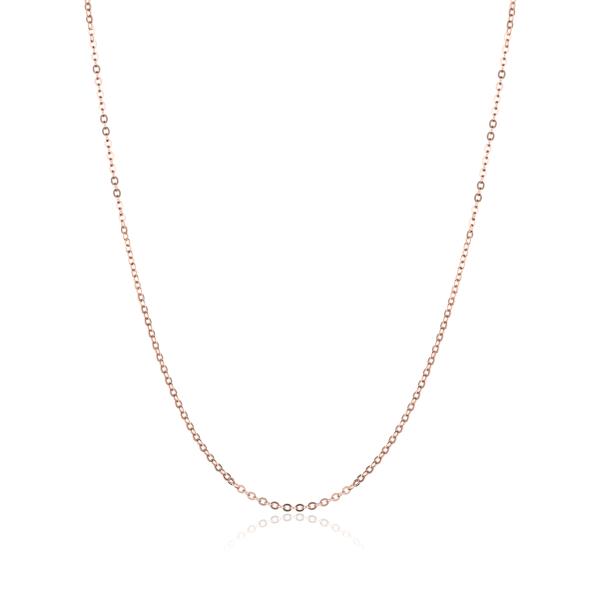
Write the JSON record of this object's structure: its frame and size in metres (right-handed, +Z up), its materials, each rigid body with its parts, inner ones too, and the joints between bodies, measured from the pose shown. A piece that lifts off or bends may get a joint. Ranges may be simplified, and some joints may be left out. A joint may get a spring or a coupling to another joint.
{
  "type": "chain necklace",
  "caption": "Fine flat cable chain necklace of oval wire links with a lobster clasp, hanging in a deep U at the front and closed at the nape.",
  "frame": {"origin": "inside the neck, midway between the two places where the chain leaves the shoulders, at their height", "axes": "+Z up along the neck, +Y towards the nape and the clasp, so -Y is the front, +X to the right when seen from the front"},
  "size_m": [0.1062, 0.0413, 0.1513],
  "materials": {
    "chain": "polished rose-gold colour",
    "clasp_body": "polished rose-gold colour",
    "clasp_lever": "polished rose-gold colour",
    "clasp_pin": "polished rose-gold colour",
    "end_ring": "polished rose-gold colour",
    "jump_ring": "polished rose-gold colour",
    "clasp_spring": "bright spring steel"
  },
  "bodies": {
    "clasp": {"clasp_body": "clasp_body", "clasp_pin": "clasp_pin", "clasp_spring": "clasp_spring"},
    "clasp_lever": {"clasp_lever": "clasp_lever"},
    "end_ring": {"end_ring": "end_ring"},
    "jump_ring": {"jump_ring": "jump_ring"},
    "chain_centre": {"chain_centre": "chain"},
    "chain_left_01": {"chain_left_01": "chain"},
    "chain_left_02": {"chain_left_02": "chain"},
    "chain_left_03": {"chain_left_03": "chain"},
    "chain_left_04": {"chain_left_04": "chain"},
    "chain_left_05": {"chain_left_05": "chain"},
    "chain_left_06": {"chain_left_06": "chain"},
    "chain_left_07": {"chain_left_07": "chain"},
    "chain_left_08": {"chain_left_08": "chain"},
    "chain_left_09": {"chain_left_09": "chain"},
    "chain_left_10": {"chain_left_10": "chain"},
    "chain_left_11": {"chain_left_11": "chain"},
    "chain_left_12": {"chain_left_12": "chain"},
    "chain_left_13": {"chain_left_13": "chain"},
    "chain_left_14": {"chain_left_14": "chain"},
    "chain_left_15": {"chain_left_15": "chain"},
    "chain_left_16": {"chain_left_16": "chain"},
    "chain_left_17": {"chain_left_17": "chain"},
    "chain_left_18": {"chain_left_18": "chain"},
    "chain_left_19": {"chain_left_19": "chain"},
    "chain_left_20": {"chain_left_20": "chain"},
    "chain_left_21": {"chain_left_21": "chain"},
    "chain_left_22": {"chain_left_22": "chain"},
    "chain_left_23": {"chain_left_23": "chain"},
    "chain_left_24": {"chain_left_24": "chain"},
    "chain_right_01": {"chain_right_01": "chain"},
    "chain_right_02": {"chain_right_02": "chain"},
    "chain_right_03": {"chain_right_03": "chain"},
    "chain_right_04": {"chain_right_04": "chain"},
    "chain_right_05": {"chain_right_05": "chain"},
    "chain_right_06": {"chain_right_06": "chain"},
    "chain_right_07": {"chain_right_07": "chain"},
    "chain_right_08": {"chain_right_08": "chain"},
    "chain_right_09": {"chain_right_09": "chain"},
    "chain_right_10": {"chain_right_10": "chain"},
    "chain_right_11": {"chain_right_11": "chain"},
    "chain_right_12": {"chain_right_12": "chain"},
    "chain_right_13": {"chain_right_13": "chain"},
    "chain_right_14": {"chain_right_14": "chain"},
    "chain_right_15": {"chain_right_15": "chain"},
    "chain_right_16": {"chain_right_16": "chain"},
    "chain_right_17": {"chain_right_17": "chain"},
    "chain_right_18": {"chain_right_18": "chain"},
    "chain_right_19": {"chain_right_19": "chain"},
    "chain_right_20": {"chain_right_20": "chain"},
    "chain_right_21": {"chain_right_21": "chain"},
    "chain_right_22": {"chain_right_22": "chain"},
    "chain_right_23": {"chain_right_23": "chain"},
    "chain_right_24": {"chain_right_24": "chain"}
  },
  "joints": [
    {"name": "clasp_lever_open", "type": "hinge", "parent": "clasp", "child": "clasp_lever", "pos_m": [0.00134, 0.01622, 0.02327], "axis": [0, -1, 0], "range_deg": [0, 22], "stiffness_Nm_per_rad": 0.003, "springref_deg": -8.59},
    {"name": "end_ring_swing", "type": "hinge", "parent": "clasp", "child": "end_ring", "pos_m": [0, 0.01622, 0.022], "axis": [-1, 0, 0], "range_deg": [0, 15]},
    {"name": "jump_ring_swing", "type": "hinge", "parent": "clasp", "child": "jump_ring", "pos_m": [0, 0.01622, 0.022], "axis": [-1, 0, 0], "range_deg": [0, 15]},
    {"name": "left_24_swing", "type": "hinge", "parent": "end_ring", "child": "chain_left_24", "pos_m": [-0.00675, 0.01622, 0.022], "axis": [-1, 0, 0], "range_deg": [0, 20]},
    {"name": "right_24_swing", "type": "hinge", "parent": "jump_ring", "child": "chain_right_24", "pos_m": [0.00675, 0.01622, 0.022], "axis": [-1, 0, 0], "range_deg": [0, 20]},
    {"name": "left_23_swing", "type": "hinge", "parent": "chain_left_24", "child": "chain_left_23", "pos_m": [-0.01565, 0.0156, 0.02171], "axis": [-1, 0, 0], "range_deg": [0, 20]},
    {"name": "right_23_swing", "type": "hinge", "parent": "chain_right_24", "child": "chain_right_23", "pos_m": [0.01565, 0.0156, 0.02171], "axis": [-1, 0, 0], "range_deg": [0, 20]},
    {"name": "left_22_swing", "type": "hinge", "parent": "chain_left_23", "child": "chain_left_22", "pos_m": [-0.02436, 0.01376, 0.0209], "axis": [-1, 0, 0], "range_deg": [0, 20]},
    {"name": "right_22_swing", "type": "hinge", "parent": "chain_right_23", "child": "chain_right_22", "pos_m": [0.02436, 0.01376, 0.0209], "axis": [-1, 0, 0], "range_deg": [0, 20]},
    {"name": "left_21_swing", "type": "hinge", "parent": "chain_left_22", "child": "chain_left_21", "pos_m": [-0.03263, 0.01068, 0.0196], "axis": [-1, 0, 0], "range_deg": [0, 20]},
    {"name": "right_21_swing", "type": "hinge", "parent": "chain_right_22", "child": "chain_right_21", "pos_m": [0.03263, 0.01068, 0.0196], "axis": [-1, 0, 0], "range_deg": [0, 20]},
    {"name": "left_20_swing", "type": "hinge", "parent": "chain_left_21", "child": "chain_left_20", "pos_m": [-0.04016, 0.00622, 0.01782], "axis": [-1, 0, 0], "range_deg": [0, 20]},
    {"name": "right_20_swing", "type": "hinge", "parent": "chain_right_21", "child": "chain_right_20", "pos_m": [0.04016, 0.00622, 0.01782], "axis": [-1, 0, 0], "range_deg": [0, 20]},
    {"name": "left_19_swing", "type": "hinge", "parent": "chain_left_20", "child": "chain_left_19", "pos_m": [-0.04638, 0.00026, 0.01557], "axis": [-1, 0, 0], "range_deg": [0, 20]},
    {"name": "right_19_swing", "type": "hinge", "parent": "chain_right_20", "child": "chain_right_19", "pos_m": [0.04638, 0.00026, 0.01557], "axis": [-1, 0, 0], "range_deg": [0, 20]},
    {"name": "left_18_swing", "type": "hinge", "parent": "chain_left_19", "child": "chain_left_18", "pos_m": [-0.05059, -0.00715, 0.01296], "axis": [-1, 0, 0], "range_deg": [0, 20]},
    {"name": "right_18_swing", "type": "hinge", "parent": "chain_right_19", "child": "chain_right_18", "pos_m": [0.05059, -0.00715, 0.01296], "axis": [-1, 0, 0], "range_deg": [0, 20]},
    {"name": "left_17_swing", "type": "hinge", "parent": "chain_left_18", "child": "chain_left_17", "pos_m": [-0.05226, -0.01531, 0.00984], "axis": [-1, 0, 0], "range_deg": [0, 20]},
    {"name": "right_17_swing", "type": "hinge", "parent": "chain_right_18", "child": "chain_right_17", "pos_m": [0.05226, -0.01531, 0.00984], "axis": [-1, 0, 0], "range_deg": [0, 20]},
    {"name": "left_16_swing", "type": "hinge", "parent": "chain_left_17", "child": "chain_left_16", "pos_m": [-0.05168, -0.0214, 0.00364], "axis": [-1, 0, 0], "range_deg": [0, 20]},
    {"name": "right_16_swing", "type": "hinge", "parent": "chain_right_17", "child": "chain_right_16", "pos_m": [0.05168, -0.0214, 0.00364], "axis": [-1, 0, 0], "range_deg": [0, 20]},
    {"name": "left_15_swing", "type": "hinge", "parent": "chain_left_16", "child": "chain_left_15", "pos_m": [-0.05047, -0.022, -0.00515], "axis": [-1, 0, 0], "range_deg": [-35, 35]},
    {"name": "right_15_swing", "type": "hinge", "parent": "chain_right_16", "child": "chain_right_15", "pos_m": [0.05047, -0.022, -0.00515], "axis": [-1, 0, 0], "range_deg": [-35, 35]},
    {"name": "left_14_swing", "type": "hinge", "parent": "chain_left_15", "child": "chain_left_14", "pos_m": [-0.04923, -0.022, -0.014], "axis": [-1, 0, 0], "range_deg": [-35, 35]},
    {"name": "right_14_swing", "type": "hinge", "parent": "chain_right_15", "child": "chain_right_14", "pos_m": [0.04923, -0.022, -0.014], "axis": [-1, 0, 0], "range_deg": [-35, 35]},
    {"name": "left_13_swing", "type": "hinge", "parent": "chain_left_14", "child": "chain_left_13", "pos_m": [-0.0479, -0.022, -0.02284], "axis": [-1, 0, 0], "range_deg": [-35, 35]},
    {"name": "right_13_swing", "type": "hinge", "parent": "chain_right_14", "child": "chain_right_13", "pos_m": [0.0479, -0.022, -0.02284], "axis": [-1, 0, 0], "range_deg": [-35, 35]},
    {"name": "left_12_swing", "type": "hinge", "parent": "chain_left_13", "child": "chain_left_12", "pos_m": [-0.04646, -0.022, -0.03166], "axis": [-1, 0, 0], "range_deg": [-35, 35]},
    {"name": "right_12_swing", "type": "hinge", "parent": "chain_right_13", "child": "chain_right_12", "pos_m": [0.04646, -0.022, -0.03166], "axis": [-1, 0, 0], "range_deg": [-35, 35]},
    {"name": "left_11_swing", "type": "hinge", "parent": "chain_left_12", "child": "chain_left_11", "pos_m": [-0.04491, -0.022, -0.04047], "axis": [-1, 0, 0], "range_deg": [-35, 35]},
    {"name": "right_11_swing", "type": "hinge", "parent": "chain_right_12", "child": "chain_right_11", "pos_m": [0.04491, -0.022, -0.04047], "axis": [-1, 0, 0], "range_deg": [-35, 35]},
    {"name": "left_10_swing", "type": "hinge", "parent": "chain_left_11", "child": "chain_left_10", "pos_m": [-0.04323, -0.022, -0.04925], "axis": [-1, 0, 0], "range_deg": [-35, 35]},
    {"name": "right_10_swing", "type": "hinge", "parent": "chain_right_11", "child": "chain_right_10", "pos_m": [0.04323, -0.022, -0.04925], "axis": [-1, 0, 0], "range_deg": [-35, 35]},
    {"name": "left_09_swing", "type": "hinge", "parent": "chain_left_10", "child": "chain_left_09", "pos_m": [-0.04137, -0.022, -0.05799], "axis": [-1, 0, 0], "range_deg": [-35, 35]},
    {"name": "right_09_swing", "type": "hinge", "parent": "chain_right_10", "child": "chain_right_09", "pos_m": [0.04137, -0.022, -0.05799], "axis": [-1, 0, 0], "range_deg": [-35, 35]},
    {"name": "left_08_swing", "type": "hinge", "parent": "chain_left_09", "child": "chain_left_08", "pos_m": [-0.03933, -0.022, -0.06669], "axis": [-1, 0, 0], "range_deg": [-35, 35]},
    {"name": "right_08_swing", "type": "hinge", "parent": "chain_right_09", "child": "chain_right_08", "pos_m": [0.03933, -0.022, -0.06669], "axis": [-1, 0, 0], "range_deg": [-35, 35]},
    {"name": "left_07_swing", "type": "hinge", "parent": "chain_left_08", "child": "chain_left_07", "pos_m": [-0.03704, -0.022, -0.07533], "axis": [-1, 0, 0], "range_deg": [-35, 35]},
    {"name": "right_07_swing", "type": "hinge", "parent": "chain_right_08", "child": "chain_right_07", "pos_m": [0.03704, -0.022, -0.07533], "axis": [-1, 0, 0], "range_deg": [-35, 35]},
    {"name": "left_06_swing", "type": "hinge", "parent": "chain_left_07", "child": "chain_left_06", "pos_m": [-0.03444, -0.022, -0.08388], "axis": [-1, 0, 0], "range_deg": [-35, 35]},
    {"name": "right_06_swing", "type": "hinge", "parent": "chain_right_07", "child": "chain_right_06", "pos_m": [0.03444, -0.022, -0.08388], "axis": [-1, 0, 0], "range_deg": [-35, 35]},
    {"name": "left_05_swing", "type": "hinge", "parent": "chain_left_06", "child": "chain_left_05", "pos_m": [-0.03145, -0.022, -0.0923], "axis": [-1, 0, 0], "range_deg": [-35, 35]},
    {"name": "right_05_swing", "type": "hinge", "parent": "chain_right_06", "child": "chain_right_05", "pos_m": [0.03145, -0.022, -0.0923], "axis": [-1, 0, 0], "range_deg": [-35, 35]},
    {"name": "left_04_swing", "type": "hinge", "parent": "chain_left_05", "child": "chain_left_04", "pos_m": [-0.02793, -0.022, -0.10052], "axis": [-1, 0, 0], "range_deg": [-35, 35]},
    {"name": "right_04_swing", "type": "hinge", "parent": "chain_right_05", "child": "chain_right_04", "pos_m": [0.02793, -0.022, -0.10052], "axis": [-1, 0, 0], "range_deg": [-35, 35]},
    {"name": "left_03_swing", "type": "hinge", "parent": "chain_left_04", "child": "chain_left_03", "pos_m": [-0.0237, -0.022, -0.10839], "axis": [-1, 0, 0], "range_deg": [-35, 35]},
    {"name": "right_03_swing", "type": "hinge", "parent": "chain_right_04", "child": "chain_right_03", "pos_m": [0.0237, -0.022, -0.10839], "axis": [-1, 0, 0], "range_deg": [-35, 35]},
    {"name": "left_02_swing", "type": "hinge", "parent": "chain_left_03", "child": "chain_left_02", "pos_m": [-0.01847, -0.022, -0.11562], "axis": [-1, 0, 0], "range_deg": [-35, 35]},
    {"name": "right_02_swing", "type": "hinge", "parent": "chain_right_03", "child": "chain_right_02", "pos_m": [0.01847, -0.022, -0.11562], "axis": [-1, 0, 0], "range_deg": [-35, 35]},
    {"name": "left_01_swing", "type": "hinge", "parent": "chain_left_02", "child": "chain_left_01", "pos_m": [-0.01186, -0.022, -0.1216], "axis": [-1, 0, 0], "range_deg": [-35, 35]},
    {"name": "right_01_swing", "type": "hinge", "parent": "chain_right_02", "child": "chain_right_01", "pos_m": [0.01186, -0.022, -0.1216], "axis": [-1, 0, 0], "range_deg": [-35, 35]},
    {"name": "centre_swing", "type": "hinge", "parent": "chain_left_01", "child": "chain_centre", "pos_m": [-0.0037, -0.022, -0.12511], "axis": [-1, 0, 0], "range_deg": [-30, 30]}
  ],
  "couplings": [
    {"joint": "jump_ring_swing", "follows": "end_ring_swing", "ratio": 1},
    {"joint": "right_24_swing", "follows": "left_24_swing", "ratio": 1},
    {"joint": "right_23_swing", "follows": "left_23_swing", "ratio": 1},
    {"joint": "right_22_swing", "follows": "left_22_swing", "ratio": 1},
    {"joint": "right_21_swing", "follows": "left_21_swing", "ratio": 1},
    {"joint": "right_20_swing", "follows": "left_20_swing", "ratio": 1},
    {"joint": "right_19_swing", "follows": "left_19_swing", "ratio": 1},
    {"joint": "right_18_swing", "follows": "left_18_swing", "ratio": 1},
    {"joint": "right_17_swing", "follows": "left_17_swing", "ratio": 1},
    {"joint": "right_16_swing", "follows": "left_16_swing", "ratio": 1},
    {"joint": "right_15_swing", "follows": "left_15_swing", "ratio": 1},
    {"joint": "right_14_swing", "follows": "left_14_swing", "ratio": 1},
    {"joint": "right_13_swing", "follows": "left_13_swing", "ratio": 1},
    {"joint": "right_12_swing", "follows": "left_12_swing", "ratio": 1},
    {"joint": "right_11_swing", "follows": "left_11_swing", "ratio": 1},
    {"joint": "right_10_swing", "follows": "left_10_swing", "ratio": 1},
    {"joint": "right_09_swing", "follows": "left_09_swing", "ratio": 1},
    {"joint": "right_08_swing", "follows": "left_08_swing", "ratio": 1},
    {"joint": "right_07_swing", "follows": "left_07_swing", "ratio": 1},
    {"joint": "right_06_swing", "follows": "left_06_swing", "ratio": 1},
    {"joint": "right_05_swing", "follows": "left_05_swing", "ratio": 1},
    {"joint": "right_04_swing", "follows": "left_04_swing", "ratio": 1},
    {"joint": "right_03_swing", "follows": "left_03_swing", "ratio": 1},
    {"joint": "right_02_swing", "follows": "left_02_swing", "ratio": 1},
    {"joint": "right_01_swing", "follows": "left_01_swing", "ratio": 1}
  ]
}
